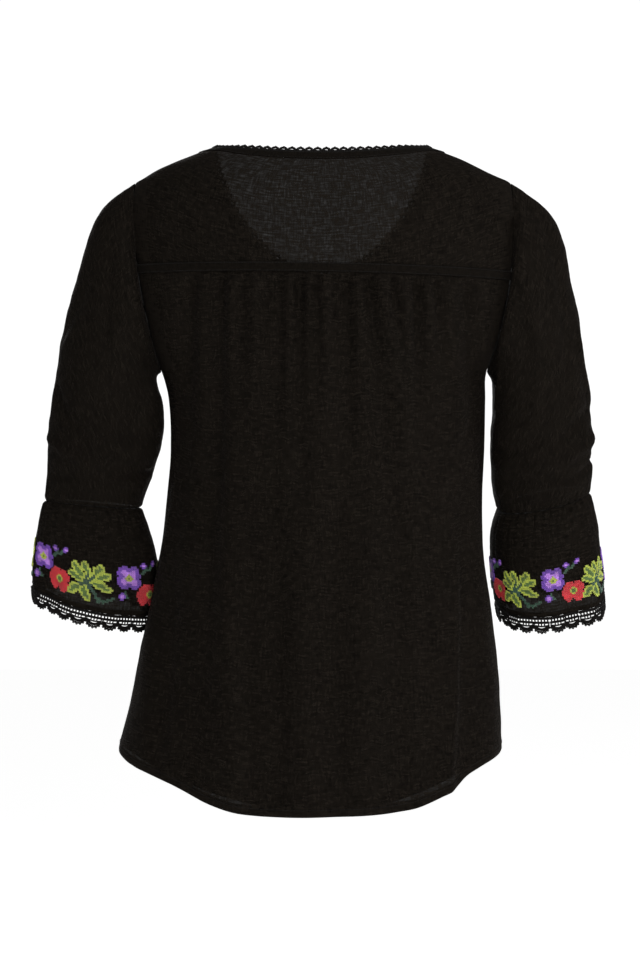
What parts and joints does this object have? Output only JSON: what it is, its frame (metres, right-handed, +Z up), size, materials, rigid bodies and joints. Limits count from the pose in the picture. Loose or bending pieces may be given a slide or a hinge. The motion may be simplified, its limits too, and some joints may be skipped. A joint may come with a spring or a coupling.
{
  "type": "peasant blouse",
  "caption": "Hip-length women's peasant blouse with a yoke, a gathered back, three-quarter sleeves with embroidered flounces and crochet edging, filled out as worn.",
  "frame": {"origin": "midway between the two neck points, where the shoulders carry the blouse", "axes": "+Z up, towards the neck; +Y is the way the wearer faces; +X is the wearer's right sleeve"},
  "size_m": [0.5804, 0.2899, 0.685],
  "materials": {
    "voile": "black semi-sheer cotton voile, matt",
    "binding": "black folded cotton, matt",
    "lace": "black cotton crochet, matt"
  },
  "bodies": {
    "root": {"back_yoke": "voile", "yoke_seam_band": "voile", "back_panel": "voile", "front_panel": "voile", "neck_binding": "binding", "neck_lace": "lace", "sleeve_left": "voile", "flounce_left": "voile", "cuff_lace_left": "lace", "sleeve_right": "voile", "flounce_right": "voile", "cuff_lace_right": "lace"}
  },
  "joints": []
}
